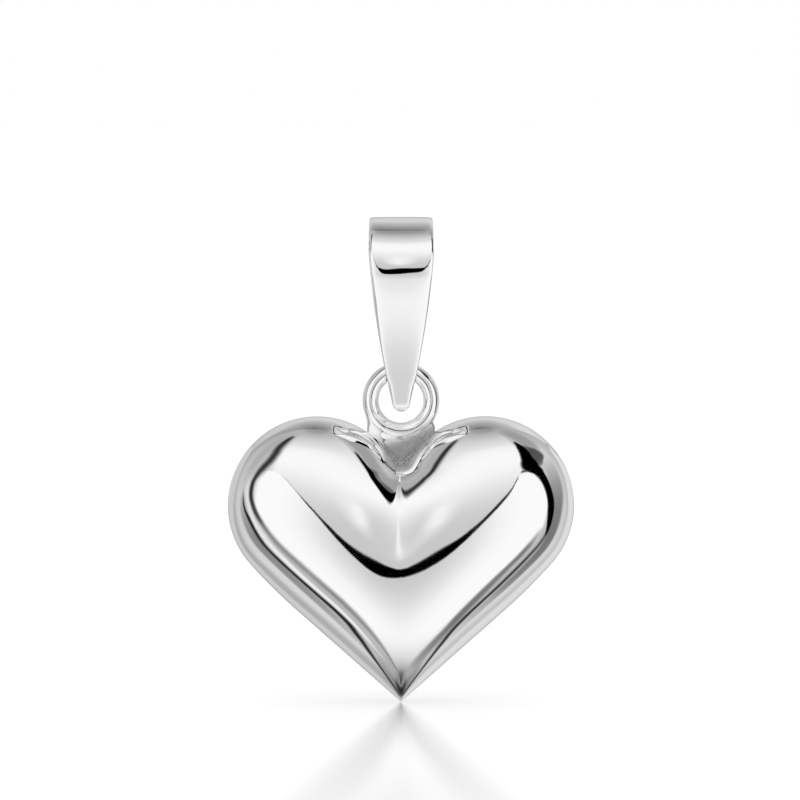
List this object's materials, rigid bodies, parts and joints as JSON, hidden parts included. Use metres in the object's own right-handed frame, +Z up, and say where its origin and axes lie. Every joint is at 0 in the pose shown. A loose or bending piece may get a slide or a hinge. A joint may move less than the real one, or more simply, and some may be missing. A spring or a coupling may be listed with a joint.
{
  "type": "heart pendant",
  "caption": "Hollow puffed heart pendant in polished silver, hanging by a soldered wire eye from a tapered folded bail that a chain runs through.",
  "frame": {"origin": "where a chain bears, at the middle of the top of the bail's inside", "axes": "+Z up, the heart's front faces -Y, +X runs across the heart to the right as seen from the front"},
  "size_m": [0.014, 0.0054, 0.0196],
  "materials": {
    "silver": "mirror-polished silver"
  },
  "bodies": {
    "bail": {"bail": "silver"},
    "heart": {"heart": "silver"}
  },
  "joints": [
    {"name": "heart_swing", "type": "hinge", "parent": "bail", "child": "heart", "pos_m": [0, 0, -0.00584], "axis": [1, 0, 0], "range_deg": [-110, 110]}
  ]
}
